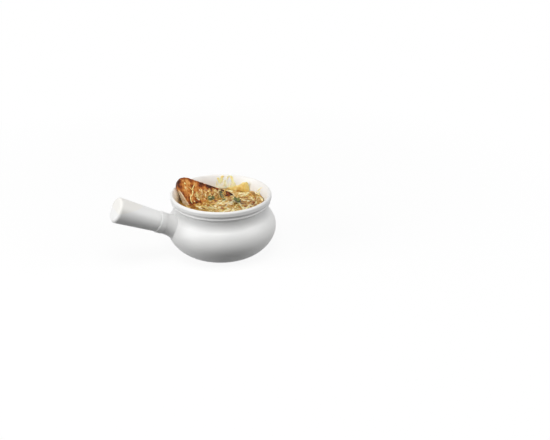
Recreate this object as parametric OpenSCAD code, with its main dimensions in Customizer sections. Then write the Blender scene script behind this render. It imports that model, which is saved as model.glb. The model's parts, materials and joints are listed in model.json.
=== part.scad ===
// Stick-handled onion soup crock, glazed stoneware, served full:
// broth, onions, melted cheese, a leaning slice of toast and thyme.
// Millimetres. Origin at the centre of the foot, +Z up, handle towards -X.

/* [Bowl] */
// Overall height, foot to crown of the rim
height = 69; // [64:0.5:80]
// Widest diameter, at the belly
belly_d = 124; // [118:0.2:132]
// Height of the lip above the neck
lip_h = 17; // [15:0.25:18]
// Height of the neck above the belly's widest point
neck_rise = 22.5; // [21:0.25:25]
// Radius of the belly's curve in section
belly_round = 22.5; // [20:0.5:24]
// Radius of the flatter curve from belly to foot
flank_round = 38; // [36:1:56]
// Outside diameter of the foot
foot_d = 76.8; // [70:0.2:84]
// Width of the ring the crock stands on
foot_ring = 5.4; // [3.5:0.1:8]
// Depth of the recess inside the foot ring
foot_recess = 1.8; // [0.8:0.1:2.6]
// How far the neck draws in from the belly, on the radius
neck_draw = 8.2; // [7.2:0.1:9.2]
// Radius of the curve that opens from neck to mouth
mouth_round = 30; // [26:1:44]
// Wall thickness
wall = 4; // [3.5:0.25:5]
// Thickness of the floor
floor_t = 6; // [4:0.25:9]

/* [Rim] */
// How far the rolled rim stands out past the neck, on the radius
rim_out = 3.3; // [2.6:0.1:5]
// Height of the rolled rim
rim_h = 7.6; // [6.4:0.1:8]
// Radius of the roll on its outer edges
rim_round = 2.6; // [1.5:0.1:2.7]
// Radius of the crown's inner edge
crown_round = 1.6; // [1:0.1:2]
// How far the fine bead under the rim stands out past the neck, on the radius
bead_out = 2; // [1.8:0.1:2.9]
// Radius of the bead's section
bead_round = 1.7; // [1.2:0.1:2]
// Gap between the bead and the rolled rim
bead_gap = 0.6; // [0.3:0.1:1]
// Depth of the crease between bead and rim
crease = 0.5; // [0.3:0.1:1.1]

/* [Handle] */
// Rise of the handle above level, in degrees
handle_tilt = 25.3; // [18:0.1:30]
// Depth below the belly's widest point at which the handle axis crosses the bowl axis
handle_drop = 18.6; // [14:0.1:21]
// Length of the stub along the handle axis, from the belly to the face of its collar
stub_len = 15.9; // [13:0.1:17]
// Length of the collar
collar_len = 8.5; // [6:0.25:9]
// Outside diameter of the collar
collar_d = 24.6; // [24.2:0.1:28]
// Radius on the collar's edges
collar_round = 1.6; // [0.8:0.1:2.2]
// Diameter of the waist between collar and bowl
waist_d = 23.6; // [22:0.1:24]
// Radius of the flare from the waist into the bowl
flare_round = 32; // [30:1:60]
// Length of the grip beyond the collar
grip_len = 51.2; // [40:0.2:70]
// Diameter of the grip at the collar
grip_d = 23.2; // [22:0.1:24]
// Diameter of the grip at its end
grip_end_d = 29.1; // [24.6:0.1:32]
// Radius on the edge of the grip's end
grip_round = 3; // [1:0.25:5]
// Thickness of the grip's closed end
grip_end_t = 5; // [3:0.25:8]
// Diameter of the hollow in the grip
grip_bore_d = 12; // [8:0.25:14]
// Diameter of the grip's spigot
spigot_d = 18; // [16:0.1:19]
// Length of the spigot
spigot_len = 12; // [8:0.25:13]
// Clearance of the spigot in its socket, on the radius
socket_gap = 0.2; // [0.1:0.05:0.4]
// Clearance below the spigot in its socket
socket_end_gap = 0.5; // [0.2:0.1:1]

/* [Soup] */
// Depth of the broth's surface below the crown
soup_drop = 16.5; // [14:0.5:24]
// Clearance between the food and the walls
food_gap = 0.2; // [0.1:0.05:0.4]
// Turn of the served food about the bowl axis, in degrees
food_turn = -23; // [-60:1:60]
// Number of loose onion strands
strand_count = 15; // [6:1:15]
// Width of an onion strand
strand_w = 2.4; // [1.6:0.1:2.8]
// Thickness of an onion strand
strand_t = 1.5; // [0.8:0.1:2]
// Length of an onion strand
strand_len = 12.5; // [8:0.5:13]
// Radius that an onion strand bends to
strand_bend = 34; // [28:1:44]
// Distance of the outermost strands from the wall
strand_edge = 1.4; // [1:0.1:3]

/* [Cheese] */
// Thickness of the melted cheese
cheese_t = 3.4; // [2.6:0.1:5]
// Height of its blisters
blister_h = 1.2; // [0.4:0.1:1.6]
// Height of the ribs where strands show through it
rib_h = 0.7; // [0.3:0.1:1]
// Distance from rib to rib
rib_pitch = 9; // [7:0.5:14]
// How far the bare broth reaches in from the wall at the front
bare_w = 17; // [10:0.5:22]
// Thickness of the wisps baked on the wall
wisp_t = 1.3; // [0.8:0.1:2]
// Height of the folded peak above the broth
fold_h = 14; // [7:0.25:15]
// Length of the folded peak
fold_len = 25; // [16:0.5:27]
// Thickness of the folded cheese
fold_t = 2.4; // [1.4:0.1:3.4]
// Clearance between the folded cheese and the wall
fold_clear = 2.2; // [1.8:0.1:4]

/* [Toast] */
// How much shorter the slice is than the mouth is wide
toast_spare = 26.6; // [25:0.2:34]
// Width of the slice
toast_w = 39; // [34:0.5:42]
// Thickness of the slice
toast_t = 9; // [6:0.25:9.5]
// Slope of its face from level, in degrees
toast_slope = 51; // [46:1:56]
// Heading of its level line, in degrees
toast_heading = 24.4; // [18:0.5:30]
// Roll of its length down the slope, in degrees
toast_roll = -26.3; // [-32:0.5:-20]
// Rise of its upper left corner above the crown
toast_rise = 9.7; // [8:0.1:14]
// Distance of that corner inside the neck's wall, sideways
toast_inset = 2.6; // [2:0.1:6]
// Distance of that corner behind the bowl axis
toast_back = 17.7; // [12:0.1:20]
// Clearance round the slice where it stands in the food
toast_gap = 0.4; // [0.3:0.05:0.8]
// Thickness of the cheese melted on the slice
topping_t = 1.8; // [1:0.1:2.6]

/* [Thyme] */
// Length of a leafy sprig
sprig_len = 9; // [6:0.5:10]
// Length of the bare stalk on the right-hand sprig
stalk_len = 15; // [6:0.5:18]
// Diameter of a stem
stem_d = 0.9; // [0.6:0.1:1.4]
// Length of a leaf
leaf_len = 3.6; // [2.4:0.1:4.2]
// Width of a leaf
leaf_w = 1.8; // [1.2:0.1:2.4]
// Pairs of leaves on a sprig
leaf_pairs = 3; // [2:1:4]

/* [Hidden] */
$fn = 96;

// Section of the bowl: x is the radius, y is the height
far = 2 * belly_d;
// How far curves that meet smoothly bite into each other, so that they cross and don't just touch
bite = 0.002;
neck_z = height - lip_h;
belly_z = neck_z - neck_rise;
neck_r = belly_d / 2 - neck_draw;
rim_r = neck_r + rim_out;
bead_r = neck_r + bead_out;
// The belly's curve stays short of the single arc that would run into the foot's edge
overhang = (belly_d - foot_d) / 2;
belly_curve = min(belly_round, 0.95 * (overhang ^ 2 + belly_z ^ 2) / (2 * overhang));
belly_c = [belly_d / 2 - belly_curve, belly_z];
foot_p = [foot_d / 2, 0];

// Centre of the flank's curve, which runs through the foot's edge and meets the belly smoothly
flank_span = norm(belly_c - foot_p);
flank_reach = (flank_round ^ 2 - (flank_round - belly_curve) ^ 2 + flank_span ^ 2) / (2 * flank_span);
flank_dir = (belly_c - foot_p) / flank_span;
flank_aside = sqrt(flank_round ^ 2 - flank_reach ^ 2);
flank_c = foot_p + flank_reach * flank_dir + flank_aside * [-flank_dir.y, flank_dir.x];
flank_end = atan2(belly_c.y - flank_c.y, belly_c.x - flank_c.x);

// Hollow curve under the neck, which meets the belly smoothly
neck_in = neck_r - belly_c.x;
neck_round = (neck_in ^ 2 + neck_rise ^ 2 - belly_curve ^ 2) / (2 * (belly_curve - neck_in));
neck_c = [neck_r + neck_round, neck_z];
neck_dir = (neck_c - belly_c) / norm(neck_c - belly_c);

// Curve that opens the neck to the mouth
mouth_c = [neck_r + mouth_round, neck_z];

// Rim, crease and bead
rim_z = height - rim_h;
bead_c = [bead_r - bead_round, rim_z - bead_gap - bead_round];
crown_z = height - crown_round;
crown_c = [
  mouth_c.x - sqrt((mouth_round + wall - crown_round) ^ 2 - (crown_z - neck_z) ^ 2),
  crown_z
];
crown_dir = (crown_c - mouth_c) / norm(crown_c - mouth_c);
crown_meet = crown_c + crown_round * crown_dir;

// Socket and grip, measured along the handle axis
handle_z = belly_z - handle_drop;
collar_s = belly_d / 2 / cos(handle_tilt) + stub_len;
waist_s = collar_s - collar_len - collar_round;
socket_s = collar_s - spigot_len - socket_end_gap;
grip_end_s = collar_s + grip_len;
grip_lean = atan((grip_end_d - grip_d) / 2 / grip_len);
grip_edge = [
  grip_end_d / 2 - grip_round * tan(grip_lean) - grip_round / cos(grip_lean),
  grip_end_s - grip_round
];

// Food
soup_z = height - soup_drop;
soup_inset = wall + food_gap;
soup_r = wall_radius(soup_z, soup_inset);
front = -110;
strand_lanes = 3;
strand_lane = 1.5 * strand_w;
strand_outer = soup_r - strand_edge - strand_w / 2;
// Step from strand to strand, so that the longest clear each other in the innermost lane
strand_arc = (1.2 * strand_len + strand_w / 3) / (strand_outer - (strand_lanes - 1) * strand_lane);
strand_step = strand_arc * 180 / PI / strand_lanes;
ripple = 1.2;
throat_r = neck_r - wall;
toast_len = 2 * throat_r - toast_spare;
toast_corner = [toast_inset - throat_r, toast_back, height + toast_rise];
sprig_pad = sprig_len * 0.75;
right_sprig = [19, 9];
right_sprig_turn = 108;
flat_spots = [right_sprig, [24, -4], [-11, 10], [2, 16]];
fold_at = 63;
// The fold stands clear of the tightest ring of wall beside it
fold_tight_z = max(soup_z, min(neck_z, soup_z + fold_h));
fold_r = wall_radius(fold_tight_z, soup_inset) - fold_clear - fold_t / 2;

// Radius of the inner wall at height z above the belly, moved in by inset
function wall_radius(z, inset) =
  z > neck_z
  ? mouth_c.x - sqrt((mouth_round + inset) ^ 2 - (z - neck_z) ^ 2)
  : z > belly_z + (belly_curve - inset) * neck_dir.y
  ? neck_c.x - sqrt((neck_round + inset) ^ 2 - (z - neck_z) ^ 2)
  : belly_c.x + sqrt((belly_curve - inset) ^ 2 - (z - belly_z) ^ 2);

// A slice of a disc between two directions
module pie(centre, radius, from, to) {
  middle = (from + to) / 2;
  rays = [for (a = [from, middle, to]) centre + 2 * radius * [cos(a), sin(a)]];
  intersection() {
    translate(centre) circle(radius);
    polygon(concat([centre], rays));
  }
}

// Half section inside the bowl's outer surface, moved in by inset, between two heights
module bowl_section(inset, bottom, top) {
  join_z = belly_z + (belly_curve - inset) * neck_dir.y;
  intersection() {
    union() {
      pie(flank_c, flank_round - inset, -90, flank_end);
      translate(belly_c) circle(belly_curve - inset);
      square([(flank_c.x + foot_p.x) / 2, belly_c.y + belly_curve / 2]);
      difference() {
        translate([0, belly_z]) square([neck_c.x, top - belly_z]);
        translate([belly_c.x, 0]) square([far, join_z]);
        translate(neck_c) circle(neck_round + inset + bite);
        intersection() {
          translate(mouth_c) circle(mouth_round + inset);
          translate([0, neck_z]) square(far);
        }
      }
    }
    translate([0, bottom]) square([far, top - bottom]);
  }
}

// Hollow of the bowl, from its floor to above the mouth
module hollow_section() {
  bowl_section(wall, floor_t, height + rim_h);
}

module rim_section() {
  translate([0, rim_z]) square([rim_r - rim_round, rim_h]);
  translate([0, rim_z + rim_round]) square([rim_r, rim_h - 2 * rim_round]);
  for (z = [rim_z + rim_round, height - rim_round])
    translate([rim_r - rim_round, z]) circle(rim_round);
  translate(bead_c) circle(bead_round);
  translate([0, bead_c.y]) square([bead_r - crease, rim_z + rim_round - bead_c.y]);
}

// What is cut away to round the crown's inner edge
module crown_cut_section() {
  difference() {
    translate([0, crown_meet.y]) square([crown_c.x, height]);
    translate(crown_c) circle(crown_round + bite);
  }
}

module wall_section() {
  difference() {
    union() {
      bowl_section(0, 0, bead_c.y);
      rim_section();
    }
    hollow_section();
    crown_cut_section();
    square([foot_d / 2 - foot_ring, foot_recess]);
  }
}

// Puts a shape that stands on +Z along the handle axis
module along_handle() {
  translate([0, 0, handle_z]) rotate([0, handle_tilt - 90, 0]) children();
}

// Flared stub and rounded collar that hold the grip
module stub_section() {
  collar_z = collar_s - collar_len;
  difference() {
    translate([0, belly_d / 2 - wall]) square([waist_d, waist_s - belly_d / 2 + wall]);
    translate([waist_d / 2 + flare_round, waist_s]) circle(flare_round);
  }
  translate([0, waist_s]) square([waist_d / 2, collar_len]);
  translate([0, collar_z]) square([collar_d / 2 - collar_round, collar_len]);
  translate([0, collar_z + collar_round]) square([collar_d / 2, collar_len - 2 * collar_round]);
  for (s = [collar_z + collar_round, collar_s - collar_round])
    translate([collar_d / 2 - collar_round, s]) circle(collar_round);
}

module crock_bowl() {
  color("white") difference() {
    union() {
      rotate_extrude() wall_section();
      difference() {
        along_handle() rotate_extrude() stub_section();
        rotate_extrude() bowl_section(wall / 2, 0, height);
      }
    }
    along_handle() translate([0, 0, socket_s])
      cylinder(h = grip_len, r = spigot_d / 2 + socket_gap);
  }
}

// Tapered grip with a rounded, closed end and a spigot for the socket
module handle_grip() {
  spigot_s = collar_s - spigot_len;
  color("white") along_handle() rotate_extrude() difference() {
    union() {
      translate([0, spigot_s]) square([spigot_d / 2, spigot_len]);
      polygon([
        [0, collar_s],
        [grip_d / 2, collar_s],
        grip_edge + grip_round * [cos(grip_lean), -sin(grip_lean)],
        grip_edge,
        [grip_edge.x, grip_end_s],
        [0, grip_end_s]
      ]);
      translate(grip_edge) circle(grip_round);
    }
    translate([0, spigot_s]) square([grip_bore_d / 2, grip_end_s - grip_end_t - spigot_s]);
  }
}

// Puts a shape into the turned frame of the served food
module served() {
  rotate([0, 0, food_turn]) children();
}

// Puts a shape on the plane of the toast: its level line along X, up the slope along Y
module on_toast() {
  served() translate(toast_corner) rotate([toast_slope, 0, toast_heading]) children();
}

// Outline of the slice, a long oval cut on the slant, from its upper left corner
module toast_outline() {
  tip_r = toast_w * 0.26;
  heel_r = toast_w * 0.42;
  belly_r = toast_w * 0.39;
  rotate([0, 0, toast_roll]) hull() {
    translate([tip_r, toast_w * 0.1 - tip_r]) circle(tip_r);
    translate([toast_len - heel_r, toast_w * 0.05 - heel_r]) circle(heel_r);
    translate([toast_len * 0.42, belly_r - toast_w * 0.9]) circle(belly_r);
  }
}

// Room for the slice, its topping and its sprigs, from the soup up along the way it lifts out
module toast_room() {
  loaded_t = toast_t + topping_t + food_gap + stem_d;
  on_toast() translate([0, 0, -toast_t - toast_gap])
    linear_extrude(loaded_t + 2 * toast_gap) hull() {
      offset(toast_gap) toast_outline();
      translate([0, toast_len]) offset(toast_gap) toast_outline();
    }
}

module broth() {
  color("darkgoldenrod") difference() {
    rotate_extrude() bowl_section(soup_inset, floor_t + food_gap, soup_z);
    toast_room();
  }
}

// Strands of onion lying on the bare broth at the front, each an arc of a cut ring
module onion_strands() {
  color("khaki") served() for (i = [0 : strand_count - 1]) {
    lane = i % strand_lanes;
    heading = front + (i - (strand_count - 1) / 2) * strand_step;
    bend = strand_bend * (1 + 0.15 * sin(i * 53));
    middle = strand_outer - lane * strand_lane + 0.1 * strand_w * sin(i * 71);
    sweep = strand_len / bend * 180 / PI * (1 + 0.2 * sin(i * 97));
    rotate([0, 0, heading]) translate([middle - bend, 0, soup_z])
      rotate([0, 0, -sweep / 2]) rotate_extrude(angle = sweep)
        translate([bend - strand_w / 2, 0]) square([strand_w, strand_t * (1 - 0.12 * lane)]);
  }
}

// Reach of the melted cheese from the bowl axis in a direction
function cheese_reach(a) =
  soup_r - food_gap - bare_w * (1 + cos(a - front)) / 2 - ripple * (1 + sin(7 * a)) / 2;

// Height of the cheese above the broth: a skin with blisters and ribs, flat where sprigs lie
function cheese_height(p, share) =
  let (
    near = min([for (spot = flat_spots) max(0, min(1, (norm(p - spot) - sprig_pad) / sprig_pad))]),
    blister = sin(p.x * 17 + 40) * sin(p.y * 19 - p.x * 6) + 0.5 * sin(p.x * 31 - p.y * 27),
    rib = 1 - 2 * abs(sin((p.y + p.x / 4 + 2 * sin(p.x * 7)) * 180 / rib_pitch))
  )
  cheese_t * (1 - 0.55 * share ^ 4) + near * (1 - share ^ 6) * (blister_h * blister + rib_h * rib);

module cheese_skin() {
  rings = 18;
  sides = 72;
  grid = [
    for (i = [1 : rings], j = [0 : sides - 1])
      let (a = j * 360 / sides, share = i / rings, p = share * cheese_reach(a) * [cos(a), sin(a)])
        [p.x, p.y, cheese_height(p, share)]
  ];
  rim = [
    for (j = [0 : sides - 1])
      let (a = j * 360 / sides, p = cheese_reach(a) * [cos(a), sin(a)])
        [p.x, p.y, 0]
  ];
  points = concat(grid, rim, [[0, 0, cheese_height([0, 0], 0)]], [[0, 0, 0]]);
  top = len(points) - 2;
  base = len(points) - 1;
  cap = [for (j = [0 : sides - 1]) [top, (j + 1) % sides, j]];
  skin = [
    for (i = [0 : rings - 1], j = [0 : sides - 1])
      let (k = (j + 1) % sides, a = i * sides, b = a + sides)
        each [[a + j, a + k, b + k], [a + j, b + k, b + j]]
  ];
  bottom = [for (j = [0 : sides - 1]) [base, rings * sides + j, rings * sides + (j + 1) % sides]];
  translate([0, 0, soup_z]) polyhedron(points, concat(cap, skin, bottom));
}

module melted_cheese() {
  color("goldenrod") difference() {
    served() cheese_skin();
    toast_room();
    served() fold_sheet(food_gap);
  }
}

// Threads of cheese baked on the back of the inner wall, from the soup up to the mouth
module cheese_wisps() {
  starts = [76, 82, 87.5, 93];
  tops = [0.72, 0.95, 0.6, 0.88];
  base = soup_z + cheese_t * 0.62;
  color("lemonchiffon") served() for (i = [0 : len(starts) - 1]) {
    rotate([0, 0, starts[i]]) rotate_extrude(angle = 3.2) difference() {
      bowl_section(soup_inset, base, base + tops[i] * (crown_meet.y - base));
      bowl_section(soup_inset + wisp_t, 0, 2 * height);
    }
  }
}

// A sheet of cheese folded up to a peak near the back wall, grown by gap on every side
module fold_sheet(gap) {
  half = (fold_len / 2 + gap) / fold_r * 180 / PI;
  rotate([0, 0, fold_at]) intersection() {
    rotate([0, 0, -half]) rotate_extrude(angle = 2 * half)
      translate([fold_r - fold_t / 2 - gap, soup_z]) square([fold_t + 2 * gap, fold_h]);
    translate([0, 0, soup_z]) rotate([90, 0, 90]) linear_extrude(belly_d / 2) offset(gap) polygon([
      [-fold_len / 2, -gap],
      [fold_len / 2, -gap],
      [fold_len / 2, fold_h * 0.28],
      [0, fold_h * 0.62],
      [-fold_len * 0.2, fold_h * 0.95],
      [-fold_len * 0.32, fold_h],
      [-fold_len * 0.42, fold_h * 0.9],
      [-fold_len / 2, fold_h * 0.4]
    ]);
  }
}

module cheese_fold() {
  color("goldenrod") served() fold_sheet(0);
}

module toast_slice() {
  crust = toast_t * 0.22;
  color("peru") on_toast() translate([0, 0, -toast_t]) hull() {
    linear_extrude(toast_t) offset(-crust) toast_outline();
    translate([0, 0, crust]) linear_extrude(toast_t - 2 * crust) toast_outline();
  }
}

// Cheese melted over the middle of the slice
module toast_cheese() {
  color("gold") on_toast() linear_extrude(topping_t) rotate([0, 0, toast_roll]) {
    translate([toast_len * 0.33, -toast_w * 0.3]) circle(toast_len * 0.107);
    translate([toast_len * 0.48, -toast_w * 0.21]) circle(toast_len * 0.112);
    translate([toast_len * 0.62, -toast_w * 0.14]) circle(toast_len * 0.09);
    translate([toast_len * 0.74, -toast_w * 0.08]) circle(toast_len * 0.064);
  }
}

// A pointed leaf lying along X from the origin
module leaf() {
  bow = (leaf_len ^ 2 / leaf_w + leaf_w) / 4;
  linear_extrude(stem_d * 0.6) intersection() {
    translate([leaf_len / 2, bow - leaf_w / 2]) circle(bow);
    translate([leaf_len / 2, leaf_w / 2 - bow]) circle(bow);
  }
}

// A sprig lying along X on the plane z = 0, with a bare stalk behind it
module sprig(stalk) {
  translate([-sprig_len / 2 - stalk, 0, stem_d / 2]) rotate([0, 90, 0])
    cylinder(h = sprig_len + stalk, d = stem_d, $fn = 24);
  for (i = [0 : leaf_pairs - 1], side = [-1, 1])
    translate([sprig_len * ((i + 0.5) / leaf_pairs - 0.5), 0, stem_d * 0.2])
      rotate([0, 0, side * (62 - 8 * i)]) leaf();
}

// A sprig on the cheese of the slice, placed in shares of the slice's length and width
module toast_sprig(along, down, turn) {
  color("olivedrab") on_toast() rotate([0, 0, toast_roll])
    translate([toast_len * along, -toast_w * down, topping_t + food_gap])
      rotate([0, 0, turn]) sprig(0);
}

module thyme_left() {
  toast_sprig(0.54, 0.34, 12);
}

module thyme_middle() {
  toast_sprig(0.7, 0.15, 98);
}

module thyme_right() {
  color("olivedrab") served()
    translate([right_sprig.x, right_sprig.y, soup_z + cheese_t + food_gap])
      rotate([0, 0, right_sprig_turn]) sprig(stalk_len);
}

crock_bowl();
handle_grip();
broth();
onion_strands();
melted_cheese();
cheese_wisps();
cheese_fold();
toast_slice();
toast_cheese();
thyme_left();
thyme_middle();
thyme_right();
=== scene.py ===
# %% [markdown]
# # A glazed soup crock, served full
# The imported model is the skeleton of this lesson: a bowl, a stick handle and plain solids where the food
# lies. We keep the ceramic exactly as it was drawn and give it a glaze, and we replace each plain food
# solid with a surface worked out in numpy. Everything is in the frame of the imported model, so nothing has
# to be fitted.

# %% Load the frame
import json
import math
import bpy
import numpy as np
from mathutils import Matrix, Vector


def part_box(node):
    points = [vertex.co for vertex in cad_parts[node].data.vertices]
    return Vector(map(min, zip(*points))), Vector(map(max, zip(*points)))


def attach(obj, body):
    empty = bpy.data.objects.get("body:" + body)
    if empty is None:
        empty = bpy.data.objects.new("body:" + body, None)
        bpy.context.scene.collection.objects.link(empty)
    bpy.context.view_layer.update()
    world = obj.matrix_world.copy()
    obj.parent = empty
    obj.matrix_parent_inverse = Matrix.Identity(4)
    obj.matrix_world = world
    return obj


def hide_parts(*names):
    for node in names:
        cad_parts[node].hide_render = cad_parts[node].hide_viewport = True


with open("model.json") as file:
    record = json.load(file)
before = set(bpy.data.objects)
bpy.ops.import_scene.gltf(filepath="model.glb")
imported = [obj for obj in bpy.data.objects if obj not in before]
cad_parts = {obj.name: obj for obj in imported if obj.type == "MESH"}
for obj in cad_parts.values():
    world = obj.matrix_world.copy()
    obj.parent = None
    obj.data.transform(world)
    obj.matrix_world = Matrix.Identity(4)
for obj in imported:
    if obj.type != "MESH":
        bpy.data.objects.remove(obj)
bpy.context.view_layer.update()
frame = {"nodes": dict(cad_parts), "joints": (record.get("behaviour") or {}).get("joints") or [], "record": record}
MM = 0.001

# %% [markdown]
# ## Two frames for the food
# The food was served turned towards the eye, so its places are easiest to give as right, away and up, as
# the eye sees them. One turn about Z brings them into the model's frame. The toast has a frame of its own:
# its joint slides up the face of the slice, so the joint's axis gives the slope, and the solid gives the
# size.

# %% Turn the food with the eye
FOOD_TURN = math.radians(-23)


def joined(*parts):
    """Coordinates put together into one array of points, each stretched to the shape that all share."""
    return np.stack(np.broadcast_arrays(*parts), axis=-1)


def polar(radius, angle):
    """Right and away at a radius and an angle: 0 is right, and a quarter turn is away."""
    return radius * np.cos(angle), radius * np.sin(angle)


def served(points):
    """Turn points (right, away, up) about Z into the model's frame. Millimetres in and out."""
    right, away, up = np.moveaxis(np.asarray(points, float), -1, 0)
    c, s = math.cos(FOOD_TURN), math.sin(FOOD_TURN)
    return np.stack([c * right - s * away, s * right + c * away, up], axis=-1)


def corners(node):
    """Lowest and highest corner of a CAD node in millimetres."""
    return [np.array(corner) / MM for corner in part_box(node)]


crown_z = corners("crock_bowl")[1][2]
soup_z = corners("broth")[1][2]
soup_floor = corners("broth")[0][2]
print(f"crown at {crown_z:.1f} mm, broth from {soup_floor:.1f} to {soup_z:.1f} mm")

# %% Measure the inner wall on the bowl itself
WALL_STATIONS = 80
BELOW_CROWN = 0.4
WALL_GAP = 0.15
bpy.context.view_layer.update()
bowl = frame["nodes"]["crock_bowl"]
wall_heights = np.linspace(soup_floor, crown_z - BELOW_CROWN, WALL_STATIONS)


def wall_hit(height):
    """Radius at which a level ray from the bowl's axis meets the inner wall."""
    spot = bowl.ray_cast((0, 0, height * MM), (0, -1, 0))[1]
    return math.hypot(spot.x, spot.y) / MM


wall_radii = np.array([wall_hit(height) for height in wall_heights])


def wall_radius(height):
    """Inner radius of the bowl at a height, read off the measured profile."""
    return np.interp(height, wall_heights, wall_radii)


def on_wall(angle, height, depth):
    """Point on the inner wall at an angle and a height, depth millimetres in front of the wall."""
    return served(joined(*polar(wall_radius(height) - depth, angle), height))


soup_r = wall_radius(soup_z) - WALL_GAP
print(f"the broth is {2 * soup_r:.1f} mm across")

# %% Frame of the toast, from its joint and its solid
TOAST_ROLL = math.radians(-26.3)
ZERO_SHARE = 0.1    # the slice's own b = 0 lies this share of its width below its highest point
lift = np.array(frame["joints"][0]["axis"], float)
level = np.cross(lift, (0, 0, 1))
level /= np.linalg.norm(level)
toast_up = np.cross(level, lift)
toast_along = math.cos(TOAST_ROLL) * level + math.sin(TOAST_ROLL) * lift
toast_across = -math.sin(TOAST_ROLL) * level + math.cos(TOAST_ROLL) * lift

slice_mesh = frame["nodes"]["toast_slice"].data
slice_points = np.empty(len(slice_mesh.vertices) * 3, np.float32)
slice_mesh.vertices.foreach_get("co", slice_points)
slice_points = slice_points.reshape(-1, 3) / MM
slice_a, slice_b, slice_h = (slice_points @ axis for axis in (toast_along, toast_across, toast_up))
toast_len, toast_w, toast_t = (np.ptp(values) for values in (slice_a, slice_b, slice_h))
toast_a0 = slice_a.min()
toast_b0 = slice_b.max() - ZERO_SHARE * toast_w
toast_h0 = slice_h.max()


def on_toast(a, b, h):
    """Point a along the slice, b across it and h above its face, in the model's frame."""
    a, b, h = np.broadcast_arrays(a, b, h)
    place = np.multiply.outer(toast_a0 + a, toast_along)
    return place + np.multiply.outer(toast_b0 + b, toast_across) + np.multiply.outer(toast_h0 + h, toast_up)


print(f"the slice is {toast_len:.1f} by {toast_w:.1f} by {toast_t:.1f} mm")

# %% [markdown]
# ## Tools of the trade
# Every new piece is a closed skin over rings of points: a revolve, a slab, a strand and a leaf all fit that
# description. One function turns the arrays into a mesh, closes both ends with fans, and turns the faces
# outwards by the sign of the volume. Soft noise is a sum of sine waves, because it takes whole arrays at
# once.

# %% Noise and easing
def waves(points, size, seed, count=14):
    """Soft noise of unit spread: sine waves of about that length, in seeded random directions, added up."""
    draw = np.random.default_rng(seed)
    heading = draw.normal(size=(points.shape[-1], count))
    heading *= 2 * np.pi / (size * draw.uniform(0.6, 1.5, count) * np.linalg.norm(heading, axis=0))
    phase = draw.uniform(0, 2 * np.pi, count)
    return np.sin(points @ heading + phase).sum(axis=-1) * math.sqrt(2 / count)


def ease(value, low, high):
    """Smooth step from 0 at low to 1 at high, which may be the smaller of the two."""
    t = np.clip((value - low) / (high - low), 0, 1)
    return t * t * (3 - 2 * t)


print("noise over 5 mm, at three places:", waves(np.eye(3), 5, 1).round(2))


# %% A closed skin over rings of points
def signed_volume(points, faces):
    """Volume inside each tube's faces: the sum of the tetrahedra to the tube's middle."""
    spread = points - points.mean(axis=1, keepdims=True)
    total = 0
    for i in range(1, faces.shape[1] - 1):
        a, b, c = (spread[:, faces[:, j]] for j in (0, i, i + 1))
        total = total + (a * np.cross(b, c)).sum(axis=(1, 2)) / 6
    return total


def skin(name, rings, first, last, marks):
    """Skin over k tubes: rings[k, n, m] are n rings of m points. Fans to first[k] and last[k] close the ends.

    marks gives each attribute's values in a shape that stretches to [k, n, m]. Points are in millimetres."""
    k, n, m, _ = rings.shape
    points = np.concatenate([rings.reshape(k, n * m, 3), np.stack([first, last], axis=1)], axis=1)
    here = np.arange(n * m).reshape(n, m)
    turn = np.roll(here, -1, axis=1)
    sides = np.stack([here[:-1], turn[:-1], turn[1:], here[1:]], axis=-1).reshape(-1, 4)
    start = np.stack([np.full(m, n * m), turn[0], here[0]], axis=-1)
    end = np.stack([np.full(m, n * m + 1), here[-1], turn[-1]], axis=-1)
    fans = np.concatenate([start, end])
    inside_out = (signed_volume(points, sides) + signed_volume(points, fans) < 0)[:, None, None]
    shift = (np.arange(k) * (n * m + 2))[:, None, None]
    sides = np.where(inside_out, sides[:, ::-1], sides) + shift
    fans = np.where(inside_out, fans[:, ::-1], fans) + shift
    loops = np.concatenate([sides.ravel(), fans.ravel()])
    quads, triangles = sides.size // 4, fans.size // 3
    starts = np.concatenate([4 * np.arange(quads), 4 * quads + 3 * np.arange(triangles)])

    mesh = bpy.data.meshes.new(name)
    mesh.vertices.add(k * (n * m + 2))
    mesh.vertices.foreach_set("co", (points * MM).astype(np.float32).ravel())
    mesh.loops.add(len(loops))
    mesh.loops.foreach_set("vertex_index", loops.astype(np.int32))
    mesh.polygons.add(len(starts))
    mesh.polygons.foreach_set("loop_start", starts.astype(np.int32))
    mesh.update(calc_edges=True)
    mesh.shade_smooth()
    for mark, values in marks.items():
        values = np.broadcast_to(values, (k, n, m))
        ends = np.stack([values[:, 0].mean(axis=1), values[:, -1].mean(axis=1)], axis=1)
        values = np.concatenate([values.reshape(k, n * m), ends], axis=1)
        layer = mesh.attributes.new(mark, "FLOAT", "POINT")
        layer.data.foreach_set("value", values.astype(np.float32).ravel())
    piece = bpy.data.objects.new(name, mesh)
    bpy.context.scene.collection.objects.link(piece)
    return piece


def one_skin(name, rings, **marks):
    """Skin over a single tube rings[n, m], closed at the middles of its first and its last ring."""
    return skin(name, rings[None], rings[:1].mean(axis=1), rings[-1:].mean(axis=1), marks)


def place(piece, body, slot, material, *nodes):
    """Give a piece its finish and its body, let it stand for CAD nodes, and say so. The slot is not used."""
    piece.data.materials.append(material)
    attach(piece, body)
    if nodes:
        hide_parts(*nodes)
    print(f"{piece.name}: {len(piece.data.polygons)} faces, rides on {body}, stands for {list(nodes)}")


# %% [markdown]
# ## Camera and stage
# The eye sits in front of the crock and looks down on it a little, from over a metre away, so the ellipse
# of the mouth is shallow and the sides hardly converge. The numbers below come from fitting the bowl's
# outline. A white sheet would do for the floor, but it would throw light up at the crock. Ours is dark to
# the lamps and glows towards the eye, so it looks white, keeps a faint shadow and fades to the white all
# round.

# %% Camera
PICTURE = (550, 440)
FOCAL_PX = 1129
EYE_DISTANCE = 1300
EYE_PITCH = math.radians(24.15)
FOOT_PX = (222.0, 247.8)

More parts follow.
